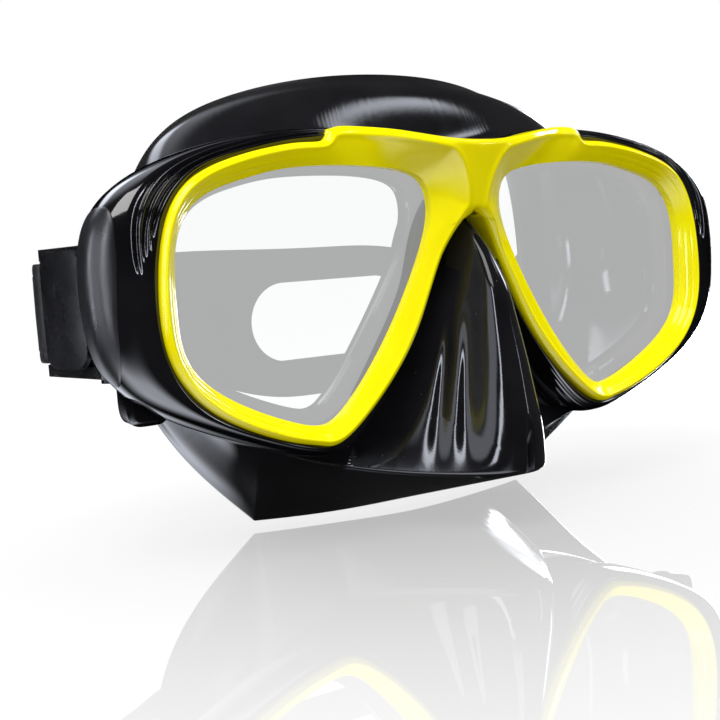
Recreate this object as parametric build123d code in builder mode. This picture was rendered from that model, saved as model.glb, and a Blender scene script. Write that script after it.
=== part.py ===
"""Two-lens snorkel mask: soft skirt, black frame, yellow front bezel and swivel strap buckles.

Millimetres. +Z is up, the mask looks along -Y and the wearer's right hand is at -X.
The origin is on the middle plane, level with the lens centres, in the plane of the lens openings.
"""

from build123d import *
import os
from math import asin, cos, degrees, hypot, pi, radians, sin

os.makedirs("parts", exist_ok=True)

# ---- driving dimensions -------------------------------------------------------------------
LENS_CENTRE = 39.0          # middle plane to each lens centre
LENS_TOE = 2.1              # each lens plane swings back by this many degrees at its outer side
LENS_LAP = 2.0              # lens edge hidden under the bezel
LENS_FRONT = 1.3            # lens front face behind the opening plane
LENS_THICK = 3.6
FRAME_DEPTH = 8.0           # depth over which the frame rounds over to its full outline
FRAME_FRONT = -1.4
FRAME_BACK = 10.5
WINDOW_LAP = 3.6            # frame window edge outside the lens opening
BEZEL_FRONT = -3.2
BEZEL_BACK = 2.6
BEZEL_BEVEL = 2.6           # the opening flares by this much towards the front lip
BRIDGE_FRONT = -8.0
BRIDGE_RADIUS = 50.0
FIT_GAP = 0.15
SKIRT_WALL = 2.2
SKIRT_FRONT = 10.8
FACE_RADIUS = 106.0
FACE_DEPTH = 26.0           # face surface at the middle of the forehead
HINGE = (79.0, 13.8)        # buckle hinge axis, distance from the middle plane and depth
HINGE_PIN_R = 1.5
PIN_HEAD = 0.8              # height and overhang of the hinge pin's heads
PIN_HEAD_GAP = 0.1
PIN_CHAMFER = 0.25
BARREL_R = 3.0
BARREL_HALF = 10.7
HINGE_WEB = (77.0, 79.4)    # web from the frame to the barrel, across
HINGE_WEB_FRONT = 9.0
ARM_INNER = 10.9
ARM_THICK = 2.4
ARM_WIDTH = 5.8
CROSS_BAR_X = (77.7, 79.3)
CROSS_BAR_Y = (22.0, 27.4)
LEVER_AXIS = (80.5, 20.0)
LEVER_PIN_R = 1.0
LEVER_OUTSIDE = [(83.7, 14.0), (85.8, 21.4), (86.6, 29.8)]      # plan of the plate, front to back
LEVER_INSIDE = [(82.9, 14.4), (84.1, 21.6), (85.4, 29.9)]
LEVER_MIDDLE = (21.9, 0.7)  # depth and height of the plate's middle
LEVER_SIZE = (15.8, 23.8)
LEVER_CORNER = 4.0
KNUCKLE_LOW = (-9.0, 4.0)
KNUCKLE_HEIGHT = 5.0
KNUCKLE_R = 1.9
KNUCKLE_LINK_X = (81.3, 84.6)
KNUCKLE_LINK_Y = (19.0, 21.0)
SPRING_R = 1.55
SPRING_PITCH = 0.95
SPRING_HEIGHT = 5.7
SPRING_WIRE_R = 0.35
SPRING_LEG = 4.6
SPRING_LEG_THICK = 0.7
ROLLER_AXIS = (82.0, 34.5)
ROLLER_R = 2.2
ROLLER_PIN_R = 0.9
ROLLER_HALF = 10.5
ROLLER_GROOVES = 10
ROLLER_GROOVE_R = 0.4
RUN_GAP = 0.05              # radial clearance of a pin that turns
STRAP_THICK = 2.2
STRAP_HALF = 10.6           # half height of the strap in the buckle
STRAP_LEAN = 25.0           # the strap leaves the buckle leaning this far towards the head
STRAP_BACK = 60.0           # depth of the strap behind the head
LEG_END = 17.0              # length of the strap's straight run behind the roller
FOLD_START = 1.6            # past the roller the strap folds back onto itself from here
KEEPER_START = 9.0
KEEPER_WIDTH = 3.6
KEEPER_WALL = 1.3
KEEPER_GAP = 0.2
SEAT_START = 16.8           # raised pad on the tail that stops the keeper and seats a snorkel clip
TAIL_END = 22.5
SEAT_HEIGHT = 0.3
SPLIT_MIDDLE = (1.0, -8.0)
SPLIT_SIZE = (50.0, 20.4)   # length and height
COVER_THICK = 1.6
COVER_CENTRE = (6.2, 1.5)   # depth and height
COVER_SIZE = (8.4, 31.0)
COVER_CORNER = 3.5
BAND_SPLINE = [(-66, 53.0), (-45, 57.5), (0, STRAP_BACK), (45, 57.5), (66, 53.0)]

# Lens opening, measured from its centre: first towards the nose, then up.
OPENING = [
    (22.1, 0.0), (28.2, 12.8), (28.8, 21.0), (21.4, 25.5), (0.0, 26.8), (-15.0, 25.2),
    (-26.0, 21.9), (-31.5, 12.8), (-32.2, 0.0), (-30.2, -11.2), (-20.0, -19.8),
    (-4.7, -26.2), (3.6, -24.0), (13.3, -13.6),
]
# One half of the frame's outline from the top middle round to the nose arch: at the front rim,
# and at its full size.
FRAME_RIM = [
    (0, 30), (30, 32.5), (56, 30.3), (69, 25.5), (74.5, 16), (75.9, 3), (74, -11),
    (66, -21.3), (54, -27.5), (41.7, -31.5), (32, -29.3), (20.5, -17.5), (11.5, -3), (6.8, 9.5), (0, 17.6),
]
FRAME_FULL = [
    (0, 32), (30, 34.8), (58, 32), (76, 25.3), (84.5, 16), (86, 2), (83, -12),
    (72, -21.8), (56, -29.3), (42, -33.8), (31, -31.5), (19.5, -17), (10.5, -2), (6.6, 10), (0, 17.4),
]
# The bezel outline: the raised bridge flange, the ring's outer side and the nose arch.
FLANGE_END = (34.0, 34.3)
RING_TOP = (36.8, 31.2)
BEZEL_RING = [
    RING_TOP, (55, 30), (66.4, 26.6), (73.2, 18), (75.2, 3), (73.4, -11), (64, -22),
    (50, -28.6), (41.7, -30.8), (34, -29.4), (20, -16), (12, -2.5), (6.6, 8.5),
]
NOSE_ARCH_TOP = 15.6
BRIDGE_DIP = 30.8
# Skirt outline, half, top middle to bottom middle, where it leaves the frame and at the face.
SKIRT_NECK = [
    (0, 28), (30, 32), (56, 30), (70, 22), (74.5, 6), (73, -8), (64, -20),
    (50, -30), (38, -36), (20, -41), (0, -41.5),
]
SKIRT_FACE = [
    (0, 50.5), (22, 49), (44, 43), (60, 32), (67, 14), (67.5, -6), (62, -25),
    (53.5, -38), (42, -51), (21, -52.6), (0, -53),
]
SKIRT_FACE_DEPTH = 30.0
SKIRT_END_DEPTH = 56.0
# Strap behind the head: distance from the middle plane, middle height and half height.
BAND_SHAPE = [(-66, -0.9, 11), (-46, -3, 14.6), (-22, -7.6, 18.8), (0, -8.5, 19.3), (22, -9, 18.4),
              (44, -10, 13.6), (56, -8.4, 11.2), (66, -5.0, 10.6)]
# Nose pocket sections: height, half width at the root, half width at the front, front depth.
NOSE_SECTIONS = [(13, 2.4, 1.2, -3.5), (6, 4.8, 2.0, -9), (-1, 7.8, 2.6, -13),
                 (-17, 15.5, 4.2, -17), (-31, 21, 5.6, -20), (-40, 22, 6.2, -20)]
NOSE_ROOT = 14.0


# ---- outline helpers ----------------------------------------------------------------------
def grown(points, distance):
    """Closed outline moved outwards along its normals, anticlockwise points."""
    moved = []
    count = len(points)
    for i in range(count):
        before = points[i - 1]
        after = points[(i + 1) % count]
        run = (after[0] - before[0], after[1] - before[1])
        size = hypot(*run)
        moved.append((points[i][0] + distance * run[1] / size, points[i][1] - distance * run[0] / size))
    return moved


def both_halves(half):
    """Closed outline, anticlockwise from the top middle, made of a half and its mirror image."""
    left = [(-x, z) for x, z in half]
    return left + [(x, z) for x, z in reversed(half[1:-1])]


def between(first, second, share):
    return [(a[0] + (b[0] - a[0]) * share, a[1] + (b[1] - a[1]) * share) for a, b in zip(first, second)]


def front_plane(depth):
    """Upright plane at a depth; sketches on it read x to the viewer's right and z up."""
    return Plane(origin=(0, depth, 0), x_dir=(1, 0, 0), z_dir=(0, -1, 0))


def lens_plane(side, depth):
    turn = radians(LENS_TOE)
    normal = (side * sin(turn), -cos(turn), 0)
    centre = (side * LENS_CENTRE - normal[0] * depth, -normal[1] * depth, 0)
    return Plane(origin=centre, x_dir=(cos(turn), side * sin(turn), 0), z_dir=normal)


def opening(side, growth):
    """The lens opening of one side, in the lens plane, grown by a distance."""
    outline = grown(OPENING, growth)
    return [(-side * u, v) for u, v in outline]


def loop_face(plane, points):
    """Face inside a smooth closed curve through the points."""
    with BuildSketch(plane) as outline:
        with BuildLine():
            Spline(*points, periodic=True)
        make_face()
    return outline.sketch


def lens_block(side, growth_front, growth_back, front, back):
    """Solid through one lens window between two depths, flared if the growths differ."""
    with BuildPart() as block:
        add(loop_face(lens_plane(side, back), opening(side, growth_back)))
        add(loop_face(lens_plane(side, front), opening(side, growth_front)))
        loft()
    return block.part


def frame_shell(inset):
    """The frame's rounded outer body, shrunk by an inset."""
    rim = both_halves(FRAME_RIM)
    full = both_halves(FRAME_FULL)
    with BuildPart() as body:
        for step in range(4):
            turn = step * pi / 6
            depth = FRAME_FRONT + inset + FRAME_DEPTH * (1 - cos(turn))
            add(loop_face(front_plane(depth), grown(between(rim, full, sin(turn)), -inset)))
        add(loop_face(front_plane(FRAME_BACK), grown(full, -inset - 0.8)))
        loft()
    return body.part


def upright(side, place, radius, low, high):
    """Upright cylinder at a place given from the middle plane."""
    with BuildPart() as post:
        with BuildSketch(Plane.XY.offset(low)):
            with Locations((side * place[0], place[1])):
                Circle(radius)
        extrude(amount=high - low)
    return post.part


def slab(x_range, y_range, z_range):
    with BuildPart() as block:
        with Locations([(sum(x_range) / 2, sum(y_range) / 2, sum(z_range) / 2)]):
            Box(x_range[1] - x_range[0], y_range[1] - y_range[0], z_range[1] - z_range[0])
    return block.part


def side_slab(side, x_range, y_range, z_range):
    low, high = sorted((side * x_range[0], side * x_range[1]))
    return slab((low, high), y_range, z_range)


def save(solid, name):
    solid.label = name
    export_step(solid, f"parts/{name}.step")


# ---- bezel --------------------------------------------------------------------------------
def bezel_block(growth, front):
    """The bezel outline as a solid; growth makes the pocket it sits in."""
    half = [(0, BRIDGE_DIP), (17, BRIDGE_DIP + 2.2), FLANGE_END] + BEZEL_RING + [(0, NOSE_ARCH_TOP)]
    outline = grown(both_halves(half), growth)[:len(half)]
    with BuildPart() as block:
        with BuildSketch(front_plane(BEZEL_BACK)):
            for side in (-1, 1):
                edge = [(-side * x, z) for x, z in outline]
                with BuildLine():
                    Spline(*edge[:3], tangents=[(side, 0), (side, 0)])
                    Line(edge[2], edge[3])
                    Spline(*edge[3:], tangents=[(side, 0.1), (-side, 0)])
                    Line(edge[-1], edge[0])
                make_face()
        extrude(amount=BEZEL_BACK - front)
    return block.part


with BuildPart() as front_bezel:
    add(bezel_block(0, BRIDGE_FRONT - 1))
    with BuildPart(mode=Mode.PRIVATE) as crown:
        with BuildSketch(Plane.XY.offset(-60)):
            with Locations((0, BRIDGE_FRONT + BRIDGE_RADIUS)):
                Circle(BRIDGE_RADIUS)
        extrude(amount=120)
        add(slab((-90, 90), (BEZEL_FRONT, 10), (-60, 60)))
    add(crown.part, mode=Mode.INTERSECT)
    for side in (-1, 1):
        add(lens_block(side, 0, 0, -0.2, 8), mode=Mode.SUBTRACT)
        add(lens_block(side, BEZEL_BEVEL * 3, 0, BEZEL_FRONT * 3, 0), mode=Mode.SUBTRACT)
        add(lens_block(side, WINDOW_LAP + FIT_GAP, WINDOW_LAP + FIT_GAP, LENS_FRONT - 0.05, 8),
            mode=Mode.SUBTRACT)
save(front_bezel.part, "front_bezel")

# ---- lenses -------------------------------------------------------------------------------
for side, hand in ((-1, "right"), (1, "left")):
    with BuildPart() as lens:
        add(lens_block(side, LENS_LAP, LENS_LAP, LENS_FRONT, LENS_FRONT + LENS_THICK))
    save(lens.part, f"lens_{hand}")


# ---- nose pocket shape, which the frame clears ---------------------------------------------
def nose_body(inset, root):
    """The nose pocket's outer or inner shape, widening downwards."""
    with BuildPart() as pocket:
        for height, root_half, tip_half, front in NOSE_SECTIONS:
            low = height + inset if height < -35 else height - inset * 1.2
            with BuildSketch(Plane.XY.offset(low)):
                with BuildLine():
                    Spline((-root_half + inset, root), (-root_half * 0.9 + inset, 2),
                           (-tip_half + inset * 0.4, front + 2 + inset), (0, front + inset),
                           (tip_half - inset * 0.4, front + 2 + inset),
                           (root_half * 0.9 - inset, 2), (root_half - inset, root))
                    Line((root_half - inset, root), (-root_half + inset, root))
                make_face()
        loft(ruled=True)
    return pocket.part


# ---- frame and its side covers ------------------------------------------------------------
def cover_region(side, gap):
    """Where the side cover lies: a rounded window seen from the side of the mask."""
    with BuildPart() as region:
        with BuildSketch(Plane(origin=(side * 76, 0, 0), x_dir=(0, 1, 0), z_dir=(1, 0, 0))):
            with Locations(COVER_CENTRE):
                RectangleRounded(COVER_SIZE[0] + 2 * gap, COVER_SIZE[1] + 2 * gap, COVER_CORNER)
        extrude(amount=side * 14)
    return region.part


outer_shell = frame_shell(0)
inner_shell = frame_shell(COVER_THICK)
deep_shell = frame_shell(COVER_THICK + 0.1)

with BuildPart() as main_frame:
    add(outer_shell)
    add(bezel_block(FIT_GAP, -12), mode=Mode.SUBTRACT)
    for side in (-1, 1):
        add(lens_block(side, WINDOW_LAP, WINDOW_LAP, -4, 16), mode=Mode.SUBTRACT)
        with BuildPart(mode=Mode.PRIVATE) as recess:
            add(cover_region(side, FIT_GAP))
            add(deep_shell, mode=Mode.SUBTRACT)
        add(recess.part, mode=Mode.SUBTRACT)
        add(side_slab(side, HINGE_WEB, (HINGE_WEB_FRONT, HINGE[1]), (-BARREL_HALF, BARREL_HALF)))
        add(upright(side, HINGE, BARREL_R, -BARREL_HALF, BARREL_HALF))
        add(upright(side, HINGE, HINGE_PIN_R, -BARREL_HALF - 1, BARREL_HALF + 1), mode=Mode.SUBTRACT)
save(main_frame.part, "main_frame")

for side, hand in ((-1, "right"), (1, "left")):
    with BuildPart() as side_cover:
        add(cover_region(side, 0))
        add(outer_shell, mode=Mode.INTERSECT)
        add(inner_shell, mode=Mode.SUBTRACT)
    save(side_cover.part, f"side_cover_{hand}")


# ---- skirt --------------------------------------------------------------------------------
def skirt_body(inset, front):
    """The skirt's outer or inner shape from the frame back past the face."""
    neck = both_halves(SKIRT_NECK)
    face = both_halves(SKIRT_FACE)
    slope = (SKIRT_END_DEPTH - SKIRT_FACE_DEPTH) / (SKIRT_FACE_DEPTH - SKIRT_FRONT)
    end = between(neck, face, 1 + slope * 0.12)
    with BuildPart() as body:
        for outline, depth in ((neck, front), (face, SKIRT_FACE_DEPTH), (end, SKIRT_END_DEPTH)):
            add(loop_face(front_plane(depth), grown(outline, -inset)))
        loft()
    return body.part


with BuildPart() as skirt:
    add(skirt_body(0, SKIRT_FRONT))
    add(nose_body(0, NOSE_ROOT))
    add(skirt_body(SKIRT_WALL, SKIRT_FRONT + SKIRT_WALL), mode=Mode.SUBTRACT)
    add(nose_body(SKIRT_WALL, NOSE_ROOT + 6), mode=Mode.SUBTRACT)
    for side in (-1, 1):
        seat = LENS_FRONT + LENS_THICK + 0.05
        add(lens_block(side, WINDOW_LAP - 0.1, WINDOW_LAP - 0.1, LENS_FRONT, 12))
        add(lens_block(side, LENS_LAP + 0.05, LENS_LAP + 0.05, -1, seat), mode=Mode.SUBTRACT)
        add(lens_block(side, -1.0, 0.5, 3, 16), mode=Mode.SUBTRACT)
    with BuildPart(mode=Mode.PRIVATE) as face:
        with BuildSketch(Plane.XY.offset(-90)):
            with Locations((0, FACE_DEPTH + FACE_RADIUS)):
                Circle(FACE_RADIUS)
        extrude(amount=180)
    add(face.part, mode=Mode.SUBTRACT)
save(skirt.part, "skirt")


# ---- buckles ------------------------------------------------------------------------------
for side, hand in ((-1, "right"), (1, "left")):
    hinge_to_roller = (ROLLER_AXIS[0] - HINGE[0], ROLLER_AXIS[1] - HINGE[1])
    arm_length = hypot(*hinge_to_roller)
    arm_turn = degrees(asin(hinge_to_roller[1] / arm_length))
    arm_middle = (side * (HINGE[0] + ROLLER_AXIS[0]) / 2, (HINGE[1] + ROLLER_AXIS[1]) / 2)

    with BuildPart() as buckle_body:
        for low in (-ARM_INNER - ARM_THICK, ARM_INNER):
            with BuildSketch(Plane.XY.offset(low)):
                with Locations(arm_middle):
                    SlotCenterToCenter(arm_length, ARM_WIDTH, rotation=arm_turn * side)
            extrude(amount=ARM_THICK)
        add(side_slab(side, CROSS_BAR_X, CROSS_BAR_Y, (-ARM_INNER - 0.5, ARM_INNER + 0.5)))
        for place, radius in (
            (HINGE, HINGE_PIN_R + RUN_GAP), (LEVER_AXIS, LEVER_PIN_R), (ROLLER_AXIS, ROLLER_PIN_R)
        ):
            add(upright(side, place, radius, -20, 20), mode=Mode.SUBTRACT)
    save(buckle_body.part, f"buckle_body_{hand}")

    pin_half = ARM_INNER + ARM_THICK
    hinge_half = pin_half + PIN_HEAD_GAP + PIN_HEAD
    with BuildPart() as hinge_pin:
        add(upright(side, HINGE, HINGE_PIN_R, -hinge_half, hinge_half))
        for low in (-hinge_half, hinge_half - PIN_HEAD):
            add(upright(side, HINGE, HINGE_PIN_R + PIN_HEAD, low, low + PIN_HEAD))
    save(hinge_pin.part, f"hinge_pin_{hand}")

    with BuildPart() as lever_pin:
        add(upright(side, LEVER_AXIS, LEVER_PIN_R, -pin_half, pin_half))
        chamfer(lever_pin.edges().filter_by(GeomType.CIRCLE), length=PIN_CHAMFER)
    save(lever_pin.part, f"lever_pin_{hand}")

    with BuildPart() as roller_pin:
        add(upright(side, ROLLER_AXIS, ROLLER_PIN_R, -pin_half, pin_half))
        chamfer(roller_pin.edges().filter_by(GeomType.CIRCLE), length=PIN_CHAMFER)
    save(roller_pin.part, f"roller_pin_{hand}")

    with BuildPart() as strap_roller:
        add(upright(side, ROLLER_AXIS, ROLLER_R, -ROLLER_HALF, ROLLER_HALF))
        reach = ROLLER_R + ROLLER_GROOVE_R / 2
        for step in range(ROLLER_GROOVES):
            turn = step * 2 * pi / ROLLER_GROOVES
            groove = (ROLLER_AXIS[0] + reach * cos(turn), ROLLER_AXIS[1] + reach * sin(turn))
            add(upright(side, groove, ROLLER_GROOVE_R, -ROLLER_HALF - 1, ROLLER_HALF + 1),
                mode=Mode.SUBTRACT)
        add(upright(side, ROLLER_AXIS, ROLLER_PIN_R + RUN_GAP, -20, 20), mode=Mode.SUBTRACT)
    save(strap_roller.part, f"strap_roller_{hand}")

    with BuildPart() as release_lever:
        with BuildSketch(Plane.XY.offset(LEVER_MIDDLE[1] - LEVER_SIZE[1] / 2)):
            with BuildLine():
                outside = [(side * x, y) for x, y in LEVER_OUTSIDE]
                inside = [(side * x, y) for x, y in LEVER_INSIDE]
                ThreePointArc(*outside)
                Line(outside[-1], inside[-1])
                ThreePointArc(*inside)
                Line(inside[0], outside[0])
            make_face()
        extrude(amount=LEVER_SIZE[1])
        with BuildPart(mode=Mode.PRIVATE) as plate_outline:
            with BuildSketch(Plane(origin=(side * 80, 0, 0), x_dir=(0, 1, 0), z_dir=(1, 0, 0))):
                with Locations(LEVER_MIDDLE):
                    RectangleRounded(*LEVER_SIZE, LEVER_CORNER)
            extrude(amount=side * 14)
        add(plate_outline.part, mode=Mode.INTERSECT)
        for low in KNUCKLE_LOW:
            high = low + KNUCKLE_HEIGHT
            add(side_slab(side, KNUCKLE_LINK_X, KNUCKLE_LINK_Y, (low, high)))
            add(upright(side, LEVER_AXIS, KNUCKLE_R, low, high))
            add(upright(side, LEVER_AXIS, LEVER_PIN_R + RUN_GAP, low - 1, high + 1), mode=Mode.SUBTRACT)
    save(release_lever.part, f"release_lever_{hand}")

    with BuildPart() as lever_spring:
        with BuildLine() as coil:
            Helix(pitch=SPRING_PITCH, height=SPRING_HEIGHT, radius=SPRING_R,
                  center=(side * LEVER_AXIS[0], LEVER_AXIS[1], -SPRING_HEIGHT / 2))
        with BuildSketch(Plane(origin=coil.line @ 0, z_dir=coil.line % 0)):
            Circle(SPRING_WIRE_R)
        sweep()
        leg_x = (LEVER_AXIS[0] + SPRING_R - SPRING_WIRE_R, LEVER_AXIS[0] + SPRING_R + SPRING_WIRE_R)
        leg_y = (LEVER_AXIS[1], LEVER_AXIS[1] + SPRING_LEG)
        for middle in (-SPRING_HEIGHT / 2, SPRING_HEIGHT / 2):
            leg_z = (middle - SPRING_LEG_THICK / 2, middle + SPRING_LEG_THICK / 2)
            add(side_slab(side, leg_x, leg_y, leg_z))
    save(lever_spring.part, f"lever_spring_{hand}")


# ---- strap --------------------------------------------------------------------------------
def leaning(side, along, across):
    """A place beside the roller: along the strap towards the back, and across it outwards."""
    turn = radians(STRAP_LEAN)
    x = ROLLER_AXIS[0] - along * sin(turn) + across * cos(turn)
    y = ROLLER_AXIS[1] + along * cos(turn) + across * sin(turn)
    return (side * x, y)


LEG = ROLLER_R + 0.15 + STRAP_THICK / 2     # strap centre line, beside the roller axis
TAIL = -LEG + STRAP_THICK + 0.3             # centre line of the tail where it lies on the strap
seat_top = TAIL + STRAP_THICK / 2 + SEAT_HEIGHT
for side, hand in ((-1, "right"), (1, "left")):
    backwards = Vector(*leaning(side, 1, 0)) - Vector(*leaning(side, 0, 0))
    with BuildPart() as strap_end:
        with BuildSketch(Plane.XY.offset(-STRAP_HALF)):
            with BuildLine():
                Line(leaning(side, LEG_END, -LEG), leaning(side, 0, -LEG))
                ThreePointArc(leaning(side, 0, -LEG), leaning(side, -LEG, 0), leaning(side, 0, LEG))
                Line(leaning(side, 0, LEG), leaning(side, FOLD_START, LEG))
                Spline(leaning(side, FOLD_START, LEG), leaning(side, KEEPER_START, TAIL),
                       tangents=[backwards, backwards])
                Line(leaning(side, KEEPER_START, TAIL), leaning(side, TAIL_END, TAIL))
            trace(line_width=STRAP_THICK)
            with BuildLine():
                Polyline(leaning(side, SEAT_START, TAIL), leaning(side, TAIL_END, TAIL),
                         leaning(side, TAIL_END, seat_top), leaning(side, SEAT_START, seat_top), close=True)
            make_face()
        extrude(amount=2 * STRAP_HALF)
    save(strap_end.part, f"strap_end_{hand}")

    with BuildPart() as strap_keeper:
        inner_edge = -LEG - STRAP_THICK / 2 - KEEPER_GAP
        outer_edge = TAIL + STRAP_THICK / 2 + KEEPER_GAP
        for wall, mode in ((KEEPER_WALL, Mode.ADD), (0, Mode.SUBTRACT)):
            overrun = 0 if wall else 1
            half = STRAP_HALF + KEEPER_GAP + wall
            with BuildSketch(Plane.XY.offset(-half)):
                with BuildLine():
                    Polyline(leaning(side, KEEPER_START - overrun, inner_edge - wall),
                             leaning(side, KEEPER_START + KEEPER_WIDTH + overrun, inner_edge - wall),
                             leaning(side, KEEPER_START + KEEPER_WIDTH + overrun, outer_edge + wall),
                             leaning(side, KEEPER_START - overrun, outer_edge + wall), close=True)
                make_face()
            extrude(amount=2 * half, mode=mode)
    save(strap_keeper.part, f"strap_keeper_{hand}")

with BuildPart() as strap_band:
    with BuildSketch(Plane.XY.offset(-45)):
        with BuildLine():
            Spline(*BAND_SPLINE)
        trace(line_width=STRAP_THICK)
    extrude(amount=70)
    with BuildPart(mode=Mode.PRIVATE) as side_view:
        with BuildSketch(front_plane(80)):
            with BuildLine():
                upper = Spline(*[(x, middle + half) for x, middle, half in BAND_SHAPE])
                lower = Spline(*[(x, middle - half) for x, middle, half in BAND_SHAPE])
                Line(upper @ 0, lower @ 0)
                Line(upper @ 1, lower @ 1)
            make_face()
            with Locations(SPLIT_MIDDLE):
                SlotOverall(*SPLIT_SIZE, mode=Mode.SUBTRACT)
        extrude(amount=50)
    add(side_view.part, mode=Mode.INTERSECT)
save(strap_band.part, "strap_band")
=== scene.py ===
"""Looks of the snorkel mask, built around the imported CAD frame.

The helpers work in millimetres in the CAD's own frame; mesh_object turns them into metres.
"""

from math import atan2, cos, pi, radians, sin

import bmesh
import bpy
import numpy as np
from mathutils import Matrix, Vector


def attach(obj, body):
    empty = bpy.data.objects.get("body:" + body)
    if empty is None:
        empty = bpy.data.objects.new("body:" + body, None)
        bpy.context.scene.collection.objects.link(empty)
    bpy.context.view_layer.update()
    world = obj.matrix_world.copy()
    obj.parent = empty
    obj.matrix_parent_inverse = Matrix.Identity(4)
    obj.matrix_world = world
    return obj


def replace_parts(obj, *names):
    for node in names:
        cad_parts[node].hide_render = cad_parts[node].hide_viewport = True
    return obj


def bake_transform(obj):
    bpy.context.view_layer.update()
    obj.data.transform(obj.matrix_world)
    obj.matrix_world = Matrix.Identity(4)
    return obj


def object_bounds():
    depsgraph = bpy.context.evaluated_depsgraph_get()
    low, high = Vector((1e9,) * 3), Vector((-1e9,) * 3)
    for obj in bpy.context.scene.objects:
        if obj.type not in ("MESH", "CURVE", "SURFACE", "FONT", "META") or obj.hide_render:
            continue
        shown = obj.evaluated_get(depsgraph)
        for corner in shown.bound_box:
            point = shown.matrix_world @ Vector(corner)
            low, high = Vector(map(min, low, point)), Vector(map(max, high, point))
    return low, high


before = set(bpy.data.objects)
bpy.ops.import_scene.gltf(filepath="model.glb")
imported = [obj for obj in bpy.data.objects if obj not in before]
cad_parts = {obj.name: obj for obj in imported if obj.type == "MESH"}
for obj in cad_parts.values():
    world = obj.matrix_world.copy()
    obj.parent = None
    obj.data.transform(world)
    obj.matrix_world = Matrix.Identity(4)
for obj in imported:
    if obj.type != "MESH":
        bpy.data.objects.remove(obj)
cad_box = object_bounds()

MM = 0.001
SIDES = {"right": -1, "left": 1}  # the wearer's hands; the wearer's right is at -X

# ---- sizes shared by several pieces (mm) ----
LENS_CENTRE = 39.0  # distance of each lens centre from the middle plane
TOE = radians(2.1)  # each lens leans back towards its outer side
FRAME_FRONT = -1.4  # depth at which the frame's rounded band starts
FRAME_ROUND = 8.0  # depth over which it turns to the outer side
FRAME_BACK = 10.45
# the lens opening about the lens centre: towards the middle plane, and up
OPENING = [
    (22.8, -0.2), (28.6, 12.6), (28.8, 20.8), (21.4, 25.3), (0.0, 26.4), (-14.2, 24.3),
    (-24.8, 20.4), (-30.2, 12.0), (-31.0, 0.0), (-29.4, -11.0), (-20.0, -19.8),
    (-4.5, -26.4), (4.4, -24.8), (14.2, -13.8),
]
# half outlines from the top of the middle plane to its bottom: distance from it, and height
BEZEL_OUTLINE = [
    (0, 30.8), (10, 31.5), (20, 33.3), (28, 34.3), (32.6, 34.2), (34.7, 33.2), (35.5, 31.9), (37.2, 31.2),
    (42, 31.0), (48, 30.2), (55, 28.7), (65.0, 24.9), (71.7, 16.7), (74.2, 3), (72.8, -10.8), (64, -21.8),
    (50, -28.6), (41.7, -30.8), (34, -29.4), (20, -16), (12, -2.5), (6.8, 8.0), (0, 15.6),
]
FRAME_RIM = [
    (0, 30), (30, 32.5), (56, 29.0), (67, 23.6), (72.8, 15), (75.0, 3), (73.4, -10.9),
    (66, -21.3), (54, -27.5), (41.7, -31.5), (32, -29.3), (20.5, -17.5), (11.5, -3), (6.8, 9.5), (0, 17.6),
]
FRAME_FULL = [
    (0, 32), (30, 34.8), (58, 32), (76, 25.3), (84.5, 16), (86, 2), (83, -12),
    (72, -21.8), (56, -29.3), (42, -33.8), (31, -31.5), (19.5, -17), (10.5, -2), (6.6, 10), (0, 17.4),
]
SKIRT_NECK = [
    (0, 28), (30, 32), (56, 30), (70, 22), (74.5, 6), (73, -8), (64, -20),
    (56.5, -26), (48, -31.5), (24, -40), (0, -41.5),
]
SKIRT_EDGE = [
    (0, 50.2), (20, 49.2), (40, 45.2), (55, 35.5), (62.5, 16), (63.5, -5), (59.5, -24),
    (51, -39.5), (40, -52.2), (20, -52.3), (0, -52),
]
CREASE_KNOT = 8  # the face edge turns sharply at this point of SKIRT_EDGE


# ---- curves ----
def smooth_curve(points, at, closed=False):
    """Cubic curve through points, evaluated at knot numbers `at` (0 is the first point)."""
    pts = np.asarray(points, float)
    n = len(pts)
    system = np.zeros((n, n))
    right = np.zeros((n, pts.shape[1]))
    for i in range(n):
        before = (i - 1) % n if closed else max(i - 1, 0)
        after = (i + 1) % n if closed else min(i + 1, n - 1)
        for near in {before, after} - {i}:
            system[i, near] = 1
            system[i, i] += 2
        right[i] = 3 * (pts[after] - pts[before])
    slope = np.linalg.solve(system, right)
    at = np.asarray(at, float)
    k = np.floor(at).astype(int)
    if not closed:
        k = np.clip(k, 0, n - 2)
    f = (at - k)[:, None]
    a, b = pts[k % n], pts[(k + 1) % n]
    ma, mb = slope[k % n], slope[(k + 1) % n]
    return (a * (1 + 2 * f) * (1 - f) ** 2 + ma * f * (1 - f) ** 2
            + b * f * f * (3 - 2 * f) - mb * f * f * (1 - f))


def closed_curve(points, count):
    """Evenly numbered places on a smooth closed curve through points."""
    return smooth_curve(points, np.linspace(0, len(points), count, endpoint=False), closed=True)


def half_curve(points, at, corner=None):
    """Half an outline that meets its mirror image smoothly; the curve may turn sharply at one knot."""
    first = [(-x, z) for x, z in points[2:0:-1]]
    last = [(-x, z) for x, z in points[-2:-4:-1]]
    at = np.asarray(at, float)
    if corner is None:
        return smooth_curve(first + list(points) + last, at + 2)
    upper = smooth_curve(first + list(points[:corner + 1]), np.minimum(at, corner) + 2)
    lower = smooth_curve(list(points[corner:]) + last, np.maximum(at, corner) - corner)
    return np.where(at[:, None] <= corner, upper, lower)


def both_halves(half):
    """The closed outline made of a half outline and its mirror image."""
    left = [(-x, z) for x, z in half]
    return left + [(x, z) for x, z in reversed(half[1:-1])]


def smoothstep(x, low=0.0, high=1.0):
    t = np.clip((x - low) / (high - low), 0, 1)
    return t * t * (3 - 2 * t)


def smooth_min(a, b, k):
    h = np.clip(0.5 + 0.5 * (b - a) / k, 0, 1)
    return b + (a - b) * h - k * h * (1 - h)


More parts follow.
